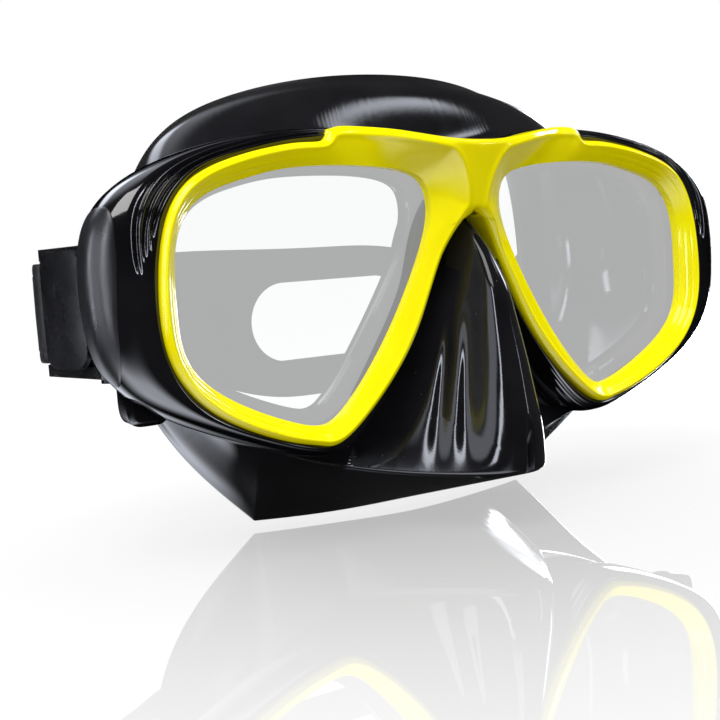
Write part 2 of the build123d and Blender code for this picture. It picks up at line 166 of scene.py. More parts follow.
def soft_interp(x, knots, values, blur):
    """Straight interpolation averaged over a small span, so that no knot shows as a kink."""
    shifts = np.linspace(-2, 2, 17)
    weights = np.exp(-shifts ** 2)
    total = sum(w * np.interp(x + blur * shift, knots, values) for w, shift in zip(weights, shifts))
    return total / weights.sum()


def unit_rows(rows):
    return rows / np.linalg.norm(rows, axis=1)[:, None]


def outline_normals(line):
    """Unit normals of a closed 2-D line, to the right of its direction."""
    run = np.roll(line, -1, 0) - np.roll(line, 1, 0)
    return unit_rows(np.column_stack([run[:, 1], -run[:, 0]]))


def squarish(wave, power):
    """A sine or cosine flattened towards a square wave, for rounded rectangles."""
    return np.sign(wave) * np.abs(wave) ** power


def distance_to_line(points, line):
    """Distance of 2-D points to a polyline."""
    best = np.full(len(points), 1e9)
    for a, b in zip(line[:-1], line[1:]):
        run = b - a
        size = run @ run
        if size < 1e-12:
            continue
        t = np.clip(((points - a) @ run) / size, 0, 1)
        gap = points - a - t[:, None] * run
        best = np.minimum(best, (gap * gap).sum(1))
    return np.sqrt(best)


def radius_at(line, angles):
    """Polar radius of a star-shaped closed line at the given angles."""
    a = np.arctan2(line[:, 1], line[:, 0])
    r = np.hypot(line[:, 0], line[:, 1])
    order = np.argsort(a)
    a, r = a[order], r[order]
    wrapped = (np.asarray(angles) + pi) % (2 * pi) - pi
    return np.interp(wrapped, a, r, period=2 * pi)


# ---- mesh helpers ----
def mesh_object(name, verts, faces, body, material, sharp):
    """Object from millimetre vertices and faces, riding on a CAD body if one is named."""
    mesh = bpy.data.meshes.new(name)
    mesh.from_pydata([tuple(v) for v in np.asarray(verts) * MM], [], [tuple(f) for f in faces])
    obj = bpy.data.objects.new(name, mesh)
    bpy.context.scene.collection.objects.link(obj)
    finish_mesh(obj, sharp)
    mesh.materials.append(material)
    if body:
        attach(obj, body)
    return obj


def finish_mesh(obj, sharp):
    """Welds doubles, turns normals outwards, smooths, and keeps edges above an angle sharp."""
    work = bmesh.new()
    work.from_mesh(obj.data)
    bmesh.ops.remove_doubles(work, verts=work.verts, dist=1e-6)
    bmesh.ops.dissolve_degenerate(work, edges=work.edges, dist=1e-7)
    bmesh.ops.recalc_face_normals(work, faces=work.faces)
    for face in work.faces:
        face.smooth = True
    for edge in work.edges:
        if len(edge.link_faces) == 2 and edge.calc_face_angle(0) > radians(sharp):
            edge.smooth = False
    work.to_mesh(obj.data)
    work.free()


def round_edges(obj, width, segments, angle):
    """Bevel modifier, in millimetres, on the edges sharper than an angle in degrees."""
    rounding = obj.modifiers.new("rounding", "BEVEL")
    rounding.width = width * MM
    rounding.segments = segments
    rounding.limit_method = "ANGLE"
    rounding.angle_limit = radians(angle)


def grid_faces(rows, columns, closed_rows=False, closed_columns=False, start=0):
    """Quads of a grid stored row by row."""
    faces = []
    for i in range(rows if closed_rows else rows - 1):
        here, after = start + i * columns, start + (i + 1) % rows * columns
        for j in range(columns if closed_columns else columns - 1):
            k = (j + 1) % columns
            faces.append((here + j, here + k, after + k, after + j))
    return faces


def slab(front, back, faces):
    """Closed slab between two versions of one sheet."""
    count = len(front)
    used = {}
    for face in faces:
        for i, a in enumerate(face):
            b = face[(i + 1) % len(face)]
            used[(a, b)] = used.get((a, b), 0) + 1
    walls = [(b, a, a + count, b + count) for (a, b) in used if (b, a) not in used]
    turned = [tuple(v + count for v in reversed(face)) for face in faces]
    return np.vstack([front, back]), list(faces) + turned + walls


def renumber(faces, index):
    """Faces with new vertex numbers, without repeated corners or collapsed faces."""
    out = []
    for face in faces:
        loop = [index[v] for v in face]
        loop = [v for i, v in enumerate(loop) if v != loop[i - 1]]
        if len(set(loop)) > 2:
            out.append(tuple(loop))
    return out


def weld(verts, faces):
    """Faces that share one number for vertices at the same rounded place."""
    keys = {}
    index = np.arange(len(verts))
    for i, v in enumerate(verts):
        index[i] = keys.setdefault(tuple(np.round(v, 4)), i)
    return renumber(faces, index)


def mirrored(verts, faces):
    """The same sheet and its mirror image in the middle plane, with the shared line welded."""
    verts = np.asarray(verts)
    flip = verts * np.array([-1, 1, 1])
    twin = [tuple(v + len(verts) for v in reversed(face)) for face in faces]
    together = np.vstack([verts, flip])
    keys = {}
    index = np.arange(len(together))
    for i, v in enumerate(together):
        if abs(v[0]) < 1e-6:
            key = (round(v[1], 5), round(v[2], 5))
            index[i] = keys.setdefault(key, i)
    return together, renumber(list(faces) + twin, index)


# ---- materials ----
def principled(name):
    """New material with its nodes, links and main shader."""
    material = bpy.data.materials.new(name)
    material.use_nodes = True
    nodes = material.node_tree.nodes
    return material, nodes, material.node_tree.links, nodes["Principled BSDF"]


def blank_material(name):
    """New material without a shader, with its nodes, links and surface socket."""
    material = bpy.data.materials.new(name)
    material.use_nodes = True
    nodes = material.node_tree.nodes
    nodes.clear()
    return material, nodes, material.node_tree.links, nodes.new("ShaderNodeOutputMaterial").inputs["Surface"]


def math_node(nodes, links, kind, a, b):
    """Socket with the result of arithmetic on two numbers or sockets."""
    node = nodes.new("ShaderNodeMath")
    node.operation = kind
    for socket, value in zip(node.inputs, (a, b)):
        if isinstance(value, float):
            socket.default_value = value
        else:
            links.new(value, socket)
    return node.outputs[0]


def noise(nodes, links, scale, detail=4.0, stretch=(1, 1, 1)):
    """Noise in object space, in features per metre."""
    where = nodes.new("ShaderNodeTexCoord")
    mapping = nodes.new("ShaderNodeMapping")
    mapping.inputs["Scale"].default_value = stretch
    links.new(where.outputs["Object"], mapping.inputs["Vector"])
    texture = nodes.new("ShaderNodeTexNoise")
    texture.inputs["Scale"].default_value = scale
    texture.inputs["Detail"].default_value = detail
    links.new(mapping.outputs["Vector"], texture.inputs["Vector"])
    return texture.outputs["Fac"]


def ramp(nodes, links, value, low, high, start=0.3, end=0.7):
    """Maps a value from start...end onto low...high."""
    node = nodes.new("ShaderNodeMapRange")
    node.inputs["From Min"].default_value = start
    node.inputs["From Max"].default_value = end
    node.inputs["To Min"].default_value = low
    node.inputs["To Max"].default_value = high
    links.new(value, node.inputs["Value"])
    return node.outputs["Result"]


def colour_ramp(nodes, links, value, dark, light):
    """Maps the middle of a noise value's range onto two colours."""
    node = nodes.new("ShaderNodeValToRGB")
    for element, position, colour in zip(node.color_ramp.elements, (0.3, 0.7), (dark, light)):
        element.position = position
        element.color = (*colour, 1)
    links.new(value, node.inputs["Fac"])
    return node.outputs["Color"]


def bump(nodes, links, shader, height, distance):
    node = nodes.new("ShaderNodeBump")
    node.inputs["Distance"].default_value = distance
    links.new(height, node.inputs["Height"])
    links.new(node.outputs["Normal"], shader.inputs["Normal"])


def mix_shaders(nodes, links, share, first, second):
    """Mixes two shader nodes; the second one's share is a number or a socket."""
    node = nodes.new("ShaderNodeMixShader")
    if isinstance(share, float):
        node.inputs["Fac"].default_value = share
    else:
        links.new(share, node.inputs["Fac"])
    links.new(first.outputs[0], node.inputs[1])
    links.new(second.outputs[0], node.inputs[2])
    return node


def plastic(name, dark, light, roughness, grain, grain_depth, coat=0.0):
    """Moulded plastic: faint mottling, uneven polish and a very fine surface grain."""
    material, nodes, links, shader = principled(name)
    cloud = noise(nodes, links, 60.0, 5.0)
    links.new(colour_ramp(nodes, links, cloud, dark, light), shader.inputs["Base Color"])
    links.new(ramp(nodes, links, noise(nodes, links, 140.0, 6.0), *roughness), shader.inputs["Roughness"])
    shader.inputs["IOR"].default_value = 1.5
    shader.inputs["Coat Weight"].default_value = coat
    shader.inputs["Coat Roughness"].default_value = 0.04
    bump(nodes, links, shader, noise(nodes, links, grain, 3.0), grain_depth)
    return material


def make_materials():
    return {
        "frame": plastic("frame_polished_black", (0.004, 0.004, 0.005), (0.009, 0.009, 0.011),
                         roughness=(0.06, 0.12), grain=500.0, grain_depth=3e-6, coat=0.6),
        "cover": plastic("cover_satin_black", (0.010, 0.010, 0.012), (0.018, 0.018, 0.021),
                         roughness=(0.26, 0.36), grain=2600.0, grain_depth=1.2e-5),
        "buckle": plastic("buckle_black", (0.006, 0.006, 0.007), (0.014, 0.014, 0.016),
                          roughness=(0.20, 0.30), grain=1800.0, grain_depth=1e-5),
        "lever": plastic("lever_satin_black", (0.006, 0.006, 0.007), (0.012, 0.012, 0.014),
                         roughness=(0.22, 0.32), grain=2800.0, grain_depth=1.2e-5),
        "bezel": bezel_material(),
        "skirt": silicone("skirt_silicone", (0.0035, 0.0035, 0.0045), (0.009, 0.009, 0.011),
                          roughness=(0.07, 0.13), gloss=0.5),
        "strap": silicone("strap_silicone", (0.006, 0.006, 0.007), (0.014, 0.014, 0.016),
                          roughness=(0.34, 0.46), gloss=0.2),
        "glass": lens_material(),
        "steel": steel_material("pin_stainless", (0.46, 0.46, 0.48), (0.70, 0.70, 0.72)),
        "dark_steel": steel_material("pin_blackened", (0.012, 0.012, 0.014), (0.03, 0.03, 0.034)),
    }


def bezel_material():
    """Glossy yellow plastic with a little light bleeding through it."""
    material, nodes, links, shader = principled("bezel_polished_yellow")
    cloud = noise(nodes, links, 45.0, 4.0)
    yellow = colour_ramp(nodes, links, cloud, (0.90, 0.78, 0.0), (0.96, 0.86, 0.0))
    links.new(yellow, shader.inputs["Base Color"])
    links.new(ramp(nodes, links, noise(nodes, links, 160.0, 6.0), 0.10, 0.17), shader.inputs["Roughness"])
    shader.inputs["Subsurface Weight"].default_value = 0.12
    shader.inputs["Subsurface Radius"].default_value = (0.004, 0.003, 0.0005)
    shader.inputs["Subsurface Scale"].default_value = 1.0
    shader.inputs["Specular IOR Level"].default_value = 0.34
    bump(nodes, links, shader, noise(nodes, links, 420.0, 3.0), 4e-6)
    return material


def silicone(name, dark, light, roughness, gloss):
    """Black silicone: soft gloss, faint bloom and dust specks."""
    material, nodes, links, shader = principled(name)
    cloud = noise(nodes, links, 70.0, 5.0)
    base = colour_ramp(nodes, links, cloud, dark, light)
    speck = nodes.new("ShaderNodeTexVoronoi")
    speck.inputs["Scale"].default_value = 420.0
    where = nodes.new("ShaderNodeTexCoord")
    links.new(where.outputs["Object"], speck.inputs["Vector"])
    dust = ramp(nodes, links, speck.outputs["Distance"], 1.0, 0.0, 0.03, 0.06)
    patches = ramp(nodes, links, noise(nodes, links, 30.0, 2.0), 0.0, 1.0, 0.56, 0.62)
    mix = nodes.new("ShaderNodeMix")
    mix.data_type = "RGBA"
    links.new(math_node(nodes, links, "MULTIPLY", dust, patches), mix.inputs["Factor"])
    links.new(base, mix.inputs["A"])
    mix.inputs["B"].default_value = (0.10, 0.10, 0.11, 1)
    links.new(mix.outputs["Result"], shader.inputs["Base Color"])
    links.new(ramp(nodes, links, noise(nodes, links, 110.0, 6.0), *roughness), shader.inputs["Roughness"])
    shader.inputs["IOR"].default_value = 1.43
    shader.inputs["Specular IOR Level"].default_value = gloss
    shader.inputs["Sheen Weight"].default_value = 0.04
    bump(nodes, links, shader, noise(nodes, links, 700.0, 4.0), 6e-6)
    return material


VEIL_SHARE = (0.252, 0.262)  # how much of the lens's look is the painted glow, varying a little at random over the pane


def lens_material():
    """Clear pane with a weak gloss and a veil of emitted light that stands in for a bright studio."""
    material, nodes, links, surface = blank_material("lens_tempered_glass")
    clear = nodes.new("ShaderNodeBsdfTransparent")
    clear.inputs["Color"].default_value = (0.985, 0.995, 0.99, 1)
    veil = nodes.new("ShaderNodeEmission")
    veil.inputs["Color"].default_value = (0.98, 0.985, 0.99, 1)
    veil.inputs["Strength"].default_value = 0.95
    gloss = nodes.new("ShaderNodeBsdfGlossy")
    gloss.inputs["Roughness"].default_value = 0.02
    facing = nodes.new("ShaderNodeFresnel")
    facing.inputs["IOR"].default_value = 1.10
    # painted glow: its share, which stands in for the studio's reflection, varies a little at random over
    # the pane
    glow_share = ramp(nodes, links, noise(nodes, links, 28.0, 5.0), *VEIL_SHARE)
    veiled = mix_shaders(nodes, links, glow_share, clear, veil)
    shade = mix_shaders(nodes, links, facing.outputs[0], veiled, gloss)
    links.new(shade.outputs[0], surface)
    return material


def steel_material(name, dark, light):
    """Drawn steel pin: fine rings along the upright axis."""
    material, nodes, links, shader = principled(name)
    shader.inputs["Metallic"].default_value = 1.0
    grain = noise(nodes, links, 300.0, 4.0, (0.2, 0.2, 6.0))
    links.new(colour_ramp(nodes, links, grain, dark, light), shader.inputs["Base Color"])
    links.new(ramp(nodes, links, grain, 0.18, 0.34), shader.inputs["Roughness"])
    bump(nodes, links, shader, grain, 4e-6)
    return material


# ---- lens-centred grid ----
# Sheets of the bezel and the skirt are half rings about one lens centre: rays by angle, with the
# middle plane as part of their outer edge. They are built for the wearer's right side (x < 0).
OPENING_LINE = closed_curve(OPENING, 720)


def toe_depth(u):
    """Depth of the lens's plane at a distance from its centre towards the middle plane."""
    return -u * np.sin(TOE)


def bezel_line():
    """Half of the bezel's outline about the right lens centre, as (u, v), without the middle plane."""
    line = half_curve(BEZEL_OUTLINE, np.linspace(0, len(BEZEL_OUTLINE) - 1, 1500))
    return np.column_stack([LENS_CENTRE - line[:, 0], line[:, 1]])


BRIDGE_RADIUS = 50.0  # the bridge saddle's radius, seen from above
LIP_DEPTH = -3.1  # depth of the bezel's rim
GLASS_STEP = 0.8  # the bezel's inner edge stands this far in front of the lens's plane
SEAT_BACK, BACK_DEPTH = 1.22, 2.55


def build_bezel(kinds):
    """Yellow bezel: flared rims, a raised lip bead, the bridge saddle and the top flange."""
    rays, rings = 540, 41
    top, bottom = BEZEL_OUTLINE[0][1], BEZEL_OUTLINE[-1][1]
    line = bezel_line()
    closed = np.vstack([line, np.column_stack([np.full(60, LENS_CENTRE), np.linspace(bottom, top, 60)])])
    # extra rays at the middle plane's corners and over the flange's step
    corner_angles = [atan2(top, LENS_CENTRE), atan2(bottom, LENS_CENTRE)]
    flange_angles = np.linspace(radians(76), radians(92), 60)
    even_angles = np.linspace(-pi, pi, rays, endpoint=False)
    angles = np.sort(np.concatenate([even_angles, corner_angles, flange_angles]))
    inner = radius_at(OPENING_LINE, angles)
    outer = radius_at(closed, angles)
    share = np.linspace(0, 1, rings)
    share = np.concatenate([share[:-1], share[-2] + (1 - share[-2]) * np.array([0.4, 0.7, 0.9, 1.0])])
    radius = inner[:, None] + (outer - inner)[:, None] * share
    u = radius * np.cos(angles)[:, None]
    v = radius * np.sin(angles)[:, None]
    u[outer * np.cos(angles) > LENS_CENTRE - 1e-3, -1] = LENS_CENTRE
    flat = np.column_stack([u.ravel(), v.ravel()])
    rim = distance_to_line(flat, np.vstack([OPENING_LINE, OPENING_LINE[:1]]))
    edge = distance_to_line(flat, line)
    x = flat[:, 0] - LENS_CENTRE
    height = flat[:, 1]
    # the bridge leans forward towards its top
    saddle = BRIDGE_RADIUS - np.sqrt(np.maximum(BRIDGE_RADIUS ** 2 - x * x, 1))
    crown = -6.0 - 0.26 * (height - 16) + saddle
    crown = crown + 3.0 * smoothstep(-height, -14, 4)
    lip = smooth_min(np.full(len(x), LIP_DEPTH), crown, 2.2)
    glass = toe_depth(flat[:, 0]) - GLASS_STEP
    # the sloping bevel takes most of the rim's width, then a bead stands on its outer edge
    bevel = np.clip(0.76 * (rim + edge), 2.8, 7.0)
    rise = np.clip(rim / bevel, 0, 1)
    curve = 0.55 * rise + 0.45 * np.sin(rise * pi / 2)
    y = glass + (lip - glass) * curve
    y -= 0.30 * np.exp(-((rim - bevel * 1.02) / 0.7) ** 2) * smoothstep(edge, 0.4, 1.6)
    # two fine grooves in the bevel on the outer side
    outer_side = smoothstep(-flat[:, 0], 0, 16)
    for place in (0.30, 0.62):
        y += 0.09 * outer_side * np.exp(-((rim - bevel * place) / 0.2) ** 2)
    # the outer edge rounds over
    inside = np.clip(1 - edge / 1.5, 0, 1)
    y += 1.5 * 0.9 * (1 - np.sqrt(1 - inside ** 2 * 0.999))
    sheet = np.column_stack([x, y, height])
    faces = grid_faces(len(angles), len(share), closed_rows=True)
    back = sheet.copy()
    back[:, 1] = np.where(rim < 3.9, toe_depth(flat[:, 0]) + SEAT_BACK, BACK_DEPTH)
    back[:, 1] = np.maximum(back[:, 1], y + 0.05)
    front, faces = mirrored(sheet, faces)
    verts, solid = slab(front, np.vstack([back, back * np.array([-1, 1, 1])]), faces)
    return mesh_object("front_bezel_shell", verts, solid, "mask", kinds["bezel"], sharp=48)


# ---- frame ----
def build_frame(kinds):
    """Black frame: a fluted, rounded band around the bezel with a flat back that reaches inwards."""
    points = both_halves(FRAME_RIM)
    count = len(points) * 34
    rim = closed_curve(points, count)
    full = closed_curve(both_halves(FRAME_FULL), count)
    normal = outline_normals(rim)
    knots = np.linspace(0, len(points), count, endpoint=False)
    side = np.minimum(knots, len(points) - knots)       # knot number counted from the top middle
    # the front edge tucks in behind the bezel
    rings = [(rim - inset * normal, np.full(len(rim), depth)) for inset, depth in ((1.7, 1.5), (1.2, -0.8))]
    for turn in np.linspace(0, pi / 2, 96):
        place = rim + (full - rim) * np.sin(turn)
        depth = np.full(len(rim), FRAME_FRONT + FRAME_ROUND * (1 - np.cos(turn)))
        depth_cut = frame_flutes(side, np.sin(turn), full, rim)
        place = place - normal * (depth_cut * (0.35 + 0.65 * np.sin(turn)))[:, None]
        depth = depth + depth_cut * np.cos(turn)
        rings.append((place, depth))
    for back_depth, inset in ((8.2, 0.1), (9.6, 0.35), (10.2, 0.8), (FRAME_BACK, 1.6)):
        rings.append((full - inset * normal, np.full(len(rim), back_depth)))
    # the back reaches in to the skirt's neck
    reach_in = np.maximum(5.0, 0.95 * np.linalg.norm(full - rim, axis=1))[:, None] * normal
    rings.append((full - reach_in, np.full(len(rim), FRAME_BACK)))
    rings.append((full - reach_in - 0.5 * normal, np.full(len(rim), 2.0)))
    verts = np.vstack([np.column_stack([place[:, 0], depth, place[:, 1]]) for place, depth in rings])
    faces = grid_faces(len(rings), len(rim), closed_rows=True, closed_columns=True)
    return mesh_object("main_frame_shell", verts, faces, "mask", kinds["frame"], sharp=60)


FLUTES = [
    # knots along the outline, and the share of the way from the rim to the outer edge at each
    ((0.7, 1.2, 1.8, 2.4, 3.0, 3.5, 4.0, 4.5, 4.9), (0.80, 0.82, 0.80, 0.72, 0.61, 0.52, 0.42, 0.31, 0.22)),
    ((0.7, 1.3, 1.8, 2.4, 3.0, 3.5, 4.0, 4.4, 4.7), (0.50, 0.54, 0.54, 0.48, 0.41, 0.35, 0.28, 0.21, 0.16)),
    ((0.9, 1.6, 2.0, 2.4, 3.0, 3.5, 3.9, 4.2, 4.4), (0.22, 0.27, 0.28, 0.27, 0.24, 0.20, 0.16, 0.12, 0.10)),
]
LOW_FLUTES = (0.42, 0.60, 0.78)


def frame_flutes(side, share, full, rim):
    """Depth of the three sweeping flutes and of the small ones under the lens tips."""
    width = np.linalg.norm(full - rim, axis=1)
    cut = np.zeros(len(side))
    for knots, shares in FLUTES:
        centre = np.polyval(np.polyfit(knots, shares, 3), side)
        along = smoothstep(side, knots[0], knots[-1])
        fade_out = 1 - smoothstep(side, knots[-1] - 0.5, knots[-1])
        strength = smoothstep(side, knots[0] - 0.4, knots[0] + 0.6) * fade_out
        away = (share - centre) / (0.095 - 0.05 * along)
        cut += 0.80 * strength * np.exp(-away ** 2) - 0.30 * strength * np.exp(-(away + 1.8) ** 2)
    strength = smoothstep(side, 9.0, 9.8) * (1 - smoothstep(side, 11.0, 12.0))
    for centre in LOW_FLUTES:
        cut += 0.40 * strength * np.exp(-((share - centre) / 0.055) ** 2)
    return cut * np.clip(width / 4.5, 0.25, 1.0)


def frame_outside(depth, height):
    """Distance of the frame's outer side from the middle plane at a depth and a height."""
    knots = np.linspace(3.0, 8.0, 260)
    rim = half_curve(FRAME_RIM, knots)
    full = half_curve(FRAME_FULL, knots)
    share = np.sin(np.arccos(np.clip(1 - (depth - FRAME_FRONT) / FRAME_ROUND, 0, 1)))
    reach = np.zeros(len(depth))
    for i, (part, z) in enumerate(zip(share, height)):
        line = rim + (full - rim) * part
        reach[i] = np.interp(-z, -line[:, 1], line[:, 0])
    return reach - 0.12 * np.clip((depth - 6.6) / 3.0, 0, 1.3) ** 2


def pillow(outline, place, profile, caps=(0.75, 0.5, 0.25)):
    """Closed plate inside a convex outline; place(a, b, height) lifts it onto a surface.

    The profile lists (inset, height) from the top face's edge down to the bottom face's edge.
    """
    outline = np.asarray(outline, float)
    middle = outline.mean(0)
    normal = outline_normals(outline)
    if (normal * (outline - middle)).sum() < 0:
        normal = -normal
    rings = [(outline - inset * normal, height) for inset, height in profile]
    top, bottom = rings[0], rings[-1]
    stack = [(middle + (top[0] - middle) * c, top[1]) for c in reversed(caps)] + rings
    stack += [(middle + (bottom[0] - middle) * c, bottom[1]) for c in caps]
    verts = [place(ring[:, 0], ring[:, 1], np.full(len(ring), height)) for ring, height in stack]
    count = len(outline)
    faces = grid_faces(len(stack), count, closed_columns=True)
    first = place(middle[:1], middle[1:], np.array([top[1]]))
    last = place(middle[:1], middle[1:], np.array([bottom[1]]))
    total = len(stack) * count
    faces += [(total, (i + 1) % count, i) for i in range(count)]
    end = total - count
    faces += [(total + 1, end + i, end + (i + 1) % count) for i in range(count)]
    return np.vstack(verts + [first, last]), faces


# depth and height of points around the side cover
COVER_OUTLINE = [
    (0.3, 6), (0.5, 12.5), (1.6, 17.8), (4.2, 20.0), (7.3, 19.6), (9.4, 17.2), (9.9, 6), (9.9, -7),
    (9.3, -11.6), (7.2, -14.2), (4.6, -14.2), (2.4, -11.8), (0.9, -6),
]


def build_cover(kinds, hand):
    """Satin side cover that follows the frame's outer side, a touch proud of it."""
    side = SIDES[hand]
    outline = closed_curve(COVER_OUTLINE, 150)

    def place(depth, height, lift):
        reach = frame_outside(depth, height)
        return np.column_stack([side * (reach + lift), depth - 0.45 * lift, height])

    profile = [(0.5, 0.16), (0.22, 0.13), (0.07, 0.05), (0.0, -0.05), (0.0, -1.0)]
    verts, faces = pillow(outline, place, profile, caps=(0.9, 0.8, 0.7, 0.6, 0.5, 0.4, 0.3, 0.2, 0.1))
    name = f"side_cover_shell_{hand}"
    return mesh_object(name, verts, faces, "mask", kinds["cover"], sharp=60)


LUG_MIDDLE = (74.0, -16.6)  # distance from the middle plane, and height
LUG_HALF = (4.6, 6.6)  # half width and half height


def build_lug(kinds, hand):
    """Rounded lug on the back of the frame, below the buckle."""
    side = SIDES[hand]
    turn = np.linspace(0, 2 * pi, 72, endpoint=False)
    outline = np.column_stack([LUG_MIDDLE[0] + LUG_HALF[0] * squarish(np.cos(turn), 0.5),
                               LUG_MIDDLE[1] + LUG_HALF[1] * squarish(np.sin(turn), 0.5)])

    def place(reach, height, depth):
        return np.column_stack([side * (reach - 0.16 * (depth - 10)), depth, height])

    profile = [(1.2, 8.0), (0.0, 8.8), (0.0, 16.0), (0.3, 17.4), (1.1, 18.4), (2.2, 18.9)]
    verts, faces = pillow(outline, place, profile)
    name = f"main_frame_lug_{hand}"
    return mesh_object(name, verts, faces, "mask", kinds["frame"], sharp=60)


# ---- skirt ----
FACE_AXIS_DEPTH = 132.0
FACE_RADIUS = 106.0
PLATE_DEPTH = 10.9  # depth of the skirt's front sheet away from the lenses
SEAL_ROUND = 1.7  # radius of the rolled face edge
SKIRT_WALL = 1.9


def face_depth(x):
    """Depth of the face, an upright cylinder, at a distance from the middle plane."""
    return FACE_AXIS_DEPTH - np.sqrt(np.maximum(FACE_RADIUS ** 2 - x * x, 1))


def nose_profile(height):
    """Front depth, front half width and root half width of the nose pocket at a height."""
    heights = [-44, -40, -31, -17, -1, 6, 13, 18, 22]
    front = soft_interp(height, heights, [-18.0, -19.8, -20.0, -17.5, -13.5, -9.5, -3.5, 4.0, 10.9], 3.0)
    tip = soft_interp(height, heights, [6.4, 6.3, 5.6, 4.3, 2.9, 2.1, 1.3, 0.8, 0.6], 4.0)
    root = soft_interp(height, heights, [30.0, 28.5, 24.0, 16.5, 9.4, 6.9, 3.8, 2.4, 2.0], 4.0)
    return front, tip, root


def nose_depth(x, height, plate):
    """Depth of the skirt's front sheet over the nose."""
    front, tip, root = nose_profile(height)
    away = np.abs(x)
    s = (away - tip) / np.maximum(root - tip, 0.5)
    t = np.clip(0.5 * (s + np.sqrt(s * s + 0.012)), 0, 1)
    depth = front + (plate - front) * t ** 0.86
    depth = depth + 0.5 * np.minimum(away / np.maximum(tip, 0.6), 1) ** 2 * (1 - t)
    lower = smoothstep(-height, -2, 24) * (1 - smoothstep(-height, 30, 41))
    # finger grooves that run down both flanks
    depth = depth + 2.0 * lower * np.exp(-((s - 0.20) / 0.085) ** 2)
    depth = depth + 1.3 * lower * np.exp(-((s - 0.40) / 0.065) ** 2)
    return np.minimum(depth, plate)


def build_skirt(kinds):
    """Silicone skirt as one sheet with thickness: lens lips, nose pocket, wall and face seal."""
    top, bottom = SKIRT_NECK[0][1], SKIRT_NECK[-1][1]
    neck = half_curve(SKIRT_NECK, np.linspace(0, len(SKIRT_NECK) - 1, 900))
    line = np.column_stack([LENS_CENTRE - neck[:, 0], neck[:, 1]])
    closed = np.vstack([line, np.column_stack([np.full(80, LENS_CENTRE), np.linspace(bottom, top, 80)])])
    top_angle = atan2(top, LENS_CENTRE)
    low_angle = atan2(bottom, LENS_CENTRE)
    middle = np.linspace(low_angle, top_angle, 190)
    outside = np.linspace(top_angle, low_angle + 2 * pi, 392)[1:-1]
    angles = np.concatenate([middle, outside])
    inner = radius_at(OPENING_LINE, angles)
    outer = radius_at(closed, angles)
    unit = np.column_stack([np.cos(angles), np.sin(angles)])
    rows = []
    # growth past the opening, and depth, of the lens seat's lips, which are narrower at the top
    lips = [(-2.6, 9.0), (-3.0, 8.2), (-3.1, 6.6), (-2.9, 5.6), (-2.3, 5.15), (-0.5, 5.05), (1.6, 5.05),
            (2.4, 5.6), (2.7, 7.0)]
    upper = smoothstep(unit[:, 1], 0.3, 0.9)
    for growth, depth in lips:
        uv = unit * (inner + growth * (1 - 0.55 * upper * (growth < 0)))[:, None]
        rows.append((uv, toe_depth(uv[:, 0]) + depth))
    start = inner + 2.9
    plate_rings = 84
    for j in range(plate_rings + 1):
        share = j / plate_rings
        uv = unit * (start + (outer - start) * share)[:, None]
        settle = smoothstep(np.full(len(uv), share), 0.0, 0.25)
        plate = toe_depth(uv[:, 0]) * (1 - settle) + 8.2 * (1 - settle) + PLATE_DEPTH * settle
        x = uv[:, 0] - LENS_CENTRE
        depth = nose_depth(x, uv[:, 1], plate)
        gap = np.linalg.norm(uv, axis=1) - inner
        near = smoothstep(gap, 2.9, 8.5)
        depth = plate + (depth - plate) * near
        # the front sheet turns under towards its lower edge
        low_edge = smoothstep(share, 0.93, 1.0) * smoothstep(-uv[:, 1], 26, 36)
        depth = depth + 1.6 * low_edge ** 2
        rows.append((uv, depth))
    rows[-1][0][:len(middle), 0] = LENS_CENTRE
    plates = [np.column_stack([uv[:, 0] - LENS_CENTRE, depth, uv[:, 1]]) for uv, depth in rows]
    verts = np.vstack(plates)
    faces = grid_faces(len(plates), len(angles), closed_columns=True)
    # outer wall from the shoulder to the face and the rolled seal, without the middle plane
    wall_index = [0] + list(range(len(angles) - 1, len(middle) - 2, -1))
    shoulder = plates[-1][wall_index]
    knot = match_outline(neck, shoulder) * (len(SKIRT_NECK) - 1)
    knot = np.maximum.accumulate(knot[::-1])[::-1]
    edge = half_curve(SKIRT_EDGE, knot, CREASE_KNOT)
    target = np.column_stack([-edge[:, 0], face_depth(edge[:, 0]), edge[:, 1]])
    travel = target - shoulder
    outward = unit_rows(np.column_stack([-edge[:, 0], np.zeros(len(edge)), edge[:, 1]]))
    over = smoothstep(outward[:, 2], 0.15, 0.8)
    beside = (1 - over) * (1 - smoothstep(-outward[:, 2], 0.3, 0.9))
    wall = []
    wall_rings = 44
    for j in range(1, wall_rings + 1):
        share = j / wall_rings
        hollow = (3.6 * over + 0.8 * beside) * np.exp(-((share - 0.34) / 0.17) ** 2)
        swell = (1.2 * over + 1.0 * beside) * np.exp(-((share - 0.74) / 0.16) ** 2)
        wall.append(shoulder + travel * share + outward * (swell - hollow)[:, None])
    last = wall[-1]
    inward = -outward
    for turn in np.linspace(0.25, 1.0, 5) * pi / 2:
        wall.append(last + inward * SEAL_ROUND * (1 - cos(turn)) + np.array([0, SEAL_ROUND * sin(turn), 0]))
    rolled = wall[-1]
    for reach_in in (3.0, 5.0, 7.0, 8.6, 9.6):
        point = rolled + inward * (reach_in - 1.5)
        point[:, 1] = face_depth(point[:, 0]) + SEAL_ROUND + 0.3 * (reach_in - 3)
        wall.append(point)
    base = len(verts)
    strip = np.vstack([shoulder] + wall)
    verts = np.vstack([verts, strip])
    faces += grid_faces(len(wall) + 1, len(wall_index), start=base)
    verts, faces = mirrored(verts, weld(verts, faces))
    obj = mesh_object("skirt_soft", verts, faces, "mask", kinds["skirt"], sharp=34)
    thick = obj.modifiers.new("wall", "SOLIDIFY")
    thick.thickness = SKIRT_WALL * MM
    thick.offset = -1.0
    return obj


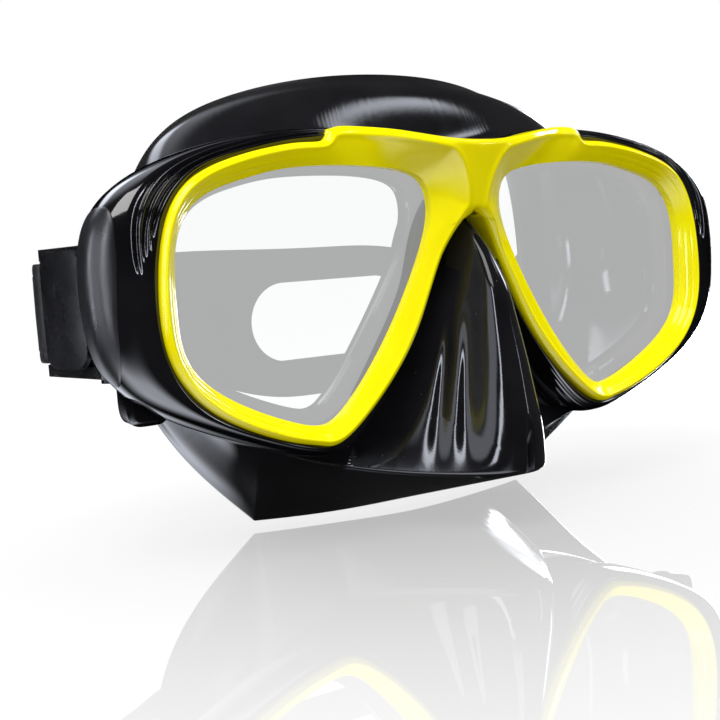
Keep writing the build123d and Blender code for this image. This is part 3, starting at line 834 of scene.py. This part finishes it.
def match_outline(outline, points):
    """Share of the way along a dense outline (x mirrored) at which each 3-D point lies."""
    flat = np.column_stack([-points[:, 0], points[:, 2]])
    gaps = ((flat[:, None, :] - outline[None, :, :]) ** 2).sum(2)
    return gaps.argmin(1) / (len(outline) - 1)


# ---- strap ----
ROLLER = (82.0, 34.5)  # the roller's axis: distance from the middle plane, and depth
STRAP_LEAN = radians(25.0)  # how far the strap leans inwards as it leaves the roller
LEG = 3.45  # distance of the strap's two legs from the line through the roller
TAIL = -0.95  # the same for the tail, folded back against the leg
ARM_HALF = 10.4  # half height of the strap in the buckle
ARM_START = 46.0  # the arms start to bend here, at a distance from the middle plane
# the pad behind the head: (x, depth), and (x, middle height, half height)
BAND_PLAN = [(-66, 53.0), (-45, 57.5), (0, 60), (45, 57.5), (66, 53.0)]
BAND_SHAPE = [(-66, -0.9, 11), (-46, -3, 14.6), (-22, -7.6, 18.8), (0, -8.5, 19.3), (22, -9, 18.4),
              (44, -10, 13.6), (56, -8.4, 11.2), (66, -5.0, 10.6)]
SPLIT_CENTRE = (1.0, -8.0)
SPLIT_HALF = (25.0, 10.2)


def band_depth(x):
    table = smooth_curve(BAND_PLAN, np.linspace(0, 4, 400))
    return np.interp(x, table[:, 0], table[:, 1])


def band_middle_half(x):
    table = smooth_curve(BAND_SHAPE, np.linspace(0, len(BAND_SHAPE) - 1, 700))
    return np.interp(x, table[:, 0], table[:, 1]), np.interp(x, table[:, 0], table[:, 2])


def leaning(side, along, across):
    """Plan position at a distance along the strap from the roller, and across it."""
    x = ROLLER[0] - along * sin(STRAP_LEAN) + across * cos(STRAP_LEAN)
    y = ROLLER[1] + along * cos(STRAP_LEAN) + across * sin(STRAP_LEAN)
    return side * x, y


def build_band(kinds):
    """Moulded pad behind the head, with the split and raised edge beads."""
    length_half, height_half = SPLIT_HALF
    split_x, split_z = SPLIT_CENTRE
    turn = np.linspace(0, pi, 90)
    x = np.concatenate([np.linspace(-47, split_x - length_half, 26)[:-1],
                        split_x - length_half * np.cos(turn),
                        np.linspace(split_x + length_half, 47, 26)[1:]])
    middle, half = band_middle_half(x)
    away = np.abs(x - split_x)
    past = np.clip(away - (length_half - height_half), 0, height_half)
    hole = np.where(away < length_half, np.sqrt(height_half ** 2 - past ** 2), 0)
    blend_in = smoothstep(away, length_half, length_half + 8)
    rows = 18
    share = np.linspace(0, 1, rows)
    sheets = []
    for sign in (1, -1):
        start = np.where(hole > 0, split_z, middle) + sign * hole
        start = np.where(hole > 0, start, split_z * (1 - blend_in) + middle * blend_in)
        stop = middle + sign * half
        sheets.append(start[:, None] + (stop - start)[:, None] * share)
    depth = band_depth(x)
    slope = np.gradient(depth, x)
    normal = unit_rows(np.column_stack([-slope, np.ones(len(x))]))
    fronts, backs, faces = [], [], []
    for sign, z in zip((1, -1), sheets):
        base = sum(len(v) for v in fronts)
        edge = np.minimum(np.abs(z - (middle + sign * half)[:, None]), 30)
        opening_edge = np.where(hole[:, None] > 0, np.abs(z - z[:, :1]), 30)
        gap = np.minimum(edge, opening_edge)
        bead = 0.45 * np.exp(-((gap - 1.5) / 0.8) ** 2)
        xs, ys = (np.repeat(line[:, None], rows, 1) for line in (x, depth))
        # the face towards the head is plain and the outer one carries the bead
        front, back = (
            np.stack([xs + out * normal[:, :1], ys + out * normal[:, 1:], z], axis=-1).reshape(-1, 3)
            for out in (-1.1, 1.25 + bead)
        )
        loops = grid_faces(len(x), rows, start=base)
        if sign < 0:
            loops = [tuple(reversed(f)) for f in loops]
        faces += loops
        fronts.append(front)
        backs.append(back)
    front = np.vstack(fronts)
    verts, solid = slab(front, np.vstack(backs), weld(front, faces))
    obj = mesh_object("strap_pad", verts, solid, "mask", kinds["strap"], sharp=50)
    round_edges(obj, width=0.7, segments=3, angle=50)
    return obj


def arm_path(side):
    """Plan line of one strap arm from the pad through the buckle and back to the tail's end."""
    xs = np.linspace(42, 64.5, 22)
    lead = np.column_stack([side * xs, band_depth(side * xs)])
    a, b = leaning(side, 18, -LEG), leaning(side, 9, -LEG)
    bend = smooth_curve([tuple(lead[-2]), tuple(lead[-1]), a, b], np.linspace(1, 2, 18))
    leg = np.linspace(a, leaning(side, 0, -LEG), 20)
    turn = np.linspace(0, pi, 26)
    wrap = np.array([leaning(side, -LEG * sin(t), -LEG * cos(t)) for t in turn])
    ease = np.linspace(0, 1, 16)
    fold = np.array([leaning(side, 1.6 + 7.4 * s, LEG + (TAIL - LEG) * smoothstep(s)) for s in ease])
    tail = np.linspace(leaning(side, 9, TAIL), leaning(side, 22.5, TAIL), 20)
    return np.vstack([lead, bend[1:], leg[1:], wrap[1:], fold, tail[1:]])


def build_arm(kinds, hand):
    """One strap arm: a ribbed ribbon with rounded edges."""
    side = SIDES[hand]
    path = arm_path(side)
    step = np.linalg.norm(np.diff(path, axis=0), axis=1)
    run = np.concatenate([[0], np.cumsum(step)])
    samples = np.linspace(0, run[-1], 230)
    path = np.column_stack([np.interp(samples, run, path[:, i]) for i in range(2)])
    for _ in range(2):
        path[1:-1] = (path[:-2] + 2 * path[1:-1] + path[2:]) / 4
    tangent = unit_rows(np.gradient(path, axis=0))
    normal = np.column_stack([tangent[:, 1], -tangent[:, 0]]) * side
    reach = np.abs(path[:, 0])
    before_roller = np.arange(len(path)) < np.argmax(reach)
    middle_pad, half_pad = band_middle_half(side * np.minimum(reach, 66))
    settle = smoothstep(samples, samples[0] + 17, samples[0] + 31)
    middle = np.where(before_roller, middle_pad, 0) * (1 - settle)
    half = (half_pad - 0.5) * (1 - settle) + ARM_HALF * settle
    # the tail's end is rounded over its last 3 mm
    end = samples[-1] - samples
    half = half - 3.0 * (1 - np.sqrt(np.clip(1 - (1 - np.clip(end / 3.0, 0, 1)) ** 2, 0, 1)))
    turn = np.linspace(0, 2 * pi, 92, endpoint=False)
    w = squarish(np.cos(turn), 0.16)
    t = squarish(np.sin(turn), 0.32)
    verts = []
    for i in range(len(path)):
        z = middle[i] + half[i] * w
        # ribs 2.4 mm apart on the outer face, with plain edges
        rib = 0.12 * np.cos(np.clip(w, -0.8, 0.8) * half[i] * 2 * pi / 2.4) * (np.abs(w) < 0.78)
        out = 1.05 * t + np.where(t > 0, rib, 0)
        verts.append(np.column_stack([path[i, 0] + normal[i, 0] * out, path[i, 1] + normal[i, 1] * out, z]))
    verts = np.vstack(verts)
    columns = len(turn)
    faces = grid_faces(len(path), columns, closed_columns=True)
    last = (len(path) - 1) * columns
    faces.append(tuple(range(columns)))
    faces.append(tuple(last + i for i in reversed(range(columns))))
    obj = mesh_object(f"strap_arm_{hand}", verts, faces, None, kinds["strap"], sharp=70)
    start = Vector((side * ARM_START, band_depth(side * ARM_START), 0)) * MM
    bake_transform(obj)
    return obj


# ---- pieces kept from the CAD ----
def dress(kinds):
    """Materials, and rounded edges where a mould would round them, for the CAD nodes that stay."""
    finish = {      # material, and rounding in millimetres
        "lens": ("glass", 0.25), "buckle_body": ("buckle", 0.45),
        "hinge_pin": ("dark_steel", 0.15), "lever_pin": ("steel", 0), "roller_pin": ("steel", 0),
        "strap_roller": ("buckle", 0.15), "release_lever": ("lever", 0.5), "lever_spring": ("steel", 0),
        "strap_keeper": ("strap", 0.4),
    }
    for name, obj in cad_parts.items():
        kind = finish.get(name.rsplit("_", 1)[0])
        if kind is None:
            continue
        obj.data.materials.clear()
        obj.data.materials.append(kinds[kind[0]])
        if kind[1]:
            round_edges(obj, width=kind[1], segments=2, angle=40)


# ---- stage ----
# the lamp and the floor are in metres
KEY_PLACE = (-0.5, -0.35, 0.75)
KEY_SIZE = 0.5
KEY_POWER = 5.0
FLOOR_HALF = 6.0
SKY = {"low": 0.16, "high": 1.75, "start": -0.75, "end": 0.75}  # what diffuse surfaces see, by height


def key_light():
    """Square lamp above and to the left, aimed at the middle of the mask."""
    data = bpy.data.lights.new("key_top_left", "AREA")
    data.size = KEY_SIZE
    data.energy = KEY_POWER
    light = bpy.data.objects.new("key_top_left", data)
    light.location = KEY_PLACE
    light.rotation_euler = (-Vector(KEY_PLACE)).to_track_quat("-Z", "Y").to_euler()
    bpy.context.scene.collection.objects.link(light)


SOFTBOXES = [
    # direction, half width and half height as sines, edge softness, strength
    ((0.83, 0.56, 0.0), 0.07, 0.34, 0.03, 22.0),
    ((-0.98, -0.05, 0.12), 0.17, 0.34, 0.05, 3.0),
    ((-0.94, 0.32, 0.14), 0.05, 0.30, 0.02, 16.0),
    ((-0.88, -0.44, 0.20), 0.06, 0.34, 0.02, 16.0),
    ((0.91, -0.06, 0.42), 0.10, 0.13, 0.03, 14.0),
    ((0.67, -0.74, 0.16), 0.04, 0.12, 0.02, 12.0),
    ((0.56, -0.43, 0.71), 0.12, 0.05, 0.045, 9.0),
    ((-0.24, 0.70, 0.68), 0.26, 0.13, 0.07, 5.0),
    ((-0.15, 0.50, 0.85), 0.34, 0.26, 0.20, 1.5),
    ((-0.20, 0.85, -0.48), 0.34, 0.22, 0.16, 2.0),
    ((-0.45, -0.30, -0.85), 0.46, 0.40, 0.24, 4.5),
]


def studio_reflection(nodes, links):
    """Brightness of the softboxes by direction, as a sum of soft rectangles."""
    where = nodes.new("ShaderNodeTexCoord")
    total = None

    def math(kind, a, b):
        return math_node(nodes, links, kind, a, b)

    def along(axis):
        node = nodes.new("ShaderNodeVectorMath")
        node.operation = "DOT_PRODUCT"
        links.new(where.outputs["Generated"], node.inputs[0])
        node.inputs[1].default_value = axis
        return node.outputs["Value"]

    def band(value, half, soft):
        node = nodes.new("ShaderNodeMapRange")
        node.interpolation_type = "SMOOTHSTEP"
        node.inputs["From Min"].default_value = half + soft
        node.inputs["From Max"].default_value = half - soft
        links.new(math("ABSOLUTE", value, 0.0), node.inputs["Value"])
        return node.outputs["Result"]

    for direction, wide, tall, soft, strength in SOFTBOXES:
        front = Vector(direction).normalized()
        across = front.cross(Vector((0, 0, 1)))
        if across.length < 0.3:
            across = Vector((1, 0, 0))
        across.normalize()
        upward = across.cross(front).normalized()
        shape = math("MULTIPLY", band(along(across), wide, soft), band(along(upward), tall, soft))
        facing = math("GREATER_THAN", along(front), 0.0)
        light = math("MULTIPLY", math("MULTIPLY", shape, facing), strength)
        total = light if total is None else math("ADD", total, light)
    return total


def build_stage():
    """Floor at the CAD's lowest point, a key light, and a world that differs by the kind of ray."""
    low = cad_box[0][2]
    corners = [(-1, -1), (1, -1), (1, 1), (-1, 1)]
    mesh = bpy.data.meshes.new("floor")
    mesh.from_pydata([(FLOOR_HALF * x, FLOOR_HALF * y, low) for x, y in corners], [], [(0, 1, 2, 3)])
    floor = bpy.data.objects.new("floor", mesh)
    bpy.context.scene.collection.objects.link(floor)
    mesh.materials.append(floor_material())
    floor.visible_glossy = False
    floor.visible_diffuse = False

    world = bpy.data.worlds.new("studio")
    bpy.context.scene.world = world
    world.use_nodes = True
    world.cycles.sampling_method = "NONE"
    nodes, links = world.node_tree.nodes, world.node_tree.links
    white = nodes["Background"]
    white.inputs["Color"].default_value = (1, 1, 1, 1)
    where = nodes.new("ShaderNodeTexCoord")
    split = nodes.new("ShaderNodeSeparateXYZ")
    links.new(where.outputs["Generated"], split.inputs[0])
    soft = nodes.new("ShaderNodeBackground")
    links.new(ramp(nodes, links, split.outputs["Z"], **SKY), soft.inputs["Strength"])
    gloss = nodes.new("ShaderNodeBackground")
    gloss.inputs["Color"].default_value = (0.86, 0.90, 1.0, 1)
    links.new(studio_reflection(nodes, links), gloss.inputs["Strength"])
    # the camera and sharp mirrors see white, diffuse rays the gradient, glossy rays the softboxes
    path = nodes.new("ShaderNodeLightPath")
    glossy, singular = path.outputs["Is Glossy Ray"], path.outputs["Is Singular Ray"]
    blurred = math_node(nodes, links, "SUBTRACT", glossy, singular)
    blurred.node.use_clamp = True
    plain = mix_shaders(nodes, links, path.outputs["Is Diffuse Ray"], white, soft)
    sky = mix_shaders(nodes, links, blurred, plain, gloss)
    links.new(sky.outputs[0], nodes["World Output"].inputs["Surface"])
    key_light()


FLOOR_GLOW = 0.82
MIRROR = {"low": 0.42, "high": 0.0, "start": 0.06, "end": 0.20}  # the mirror's share, by distance


def floor_material():
    """Pale seamless floor with a mirror image that fades out away from the middle."""
    material, nodes, links, surface = blank_material("floor_pale")
    paper = nodes.new("ShaderNodeBsdfDiffuse")
    paper.inputs["Color"].default_value = (0.92, 0.92, 0.925, 1)
    glow = nodes.new("ShaderNodeEmission")
    mirror = nodes.new("ShaderNodeBsdfGlossy")
    mirror.inputs["Roughness"].default_value = 0.0
    base = mix_shaders(nodes, links, FLOOR_GLOW, paper, glow)
    where = nodes.new("ShaderNodeNewGeometry")
    far = nodes.new("ShaderNodeVectorMath")
    far.operation = "LENGTH"
    links.new(where.outputs["Position"], far.inputs[0])
    fade = ramp(nodes, links, far.outputs["Value"], **MIRROR)
    shade = mix_shaders(nodes, links, fade, base, mirror)
    links.new(shade.outputs[0], surface)
    return material


CAMERA_PLACE = (-163.56, -208.31, 6.49)  # millimetres
CAMERA_LOOK = (0.5396, 0.8377, -0.0840)
CAMERA_UP = (0.1034, 0.0331, 0.9941)
FOCAL_LENGTH = 58.765  # millimetres, on a sensor 36 mm wide


def build_camera():
    """Camera at the product view: front left of the mask, just above lens level."""
    place = Vector(CAMERA_PLACE) * MM
    look = Vector(CAMERA_LOOK)
    right = look.cross(Vector(CAMERA_UP)).normalized()
    upward = right.cross(look).normalized()
    data = bpy.data.cameras.new("camera")
    data.sensor_width = 36.0
    data.lens = FOCAL_LENGTH
    data.clip_start = 0.01
    camera = bpy.data.objects.new("camera", data)
    turn = Matrix((right, upward, -look)).transposed()
    camera.matrix_world = Matrix.Translation(place) @ turn.to_4x4()
    bpy.context.scene.collection.objects.link(camera)
    bpy.context.scene.camera = camera
    bpy.context.scene.view_settings.view_transform = "Standard"


kinds = make_materials()
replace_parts(build_bezel(kinds), "front_bezel")
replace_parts(build_frame(kinds), "main_frame")
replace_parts(build_skirt(kinds), "skirt")
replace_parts(build_band(kinds), "strap_band")
for hand in SIDES:
    build_lug(kinds, hand)
    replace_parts(build_cover(kinds, hand), f"side_cover_{hand}")
    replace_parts(build_arm(kinds, hand), f"strap_end_{hand}")
dress(kinds)
build_stage()
build_camera()
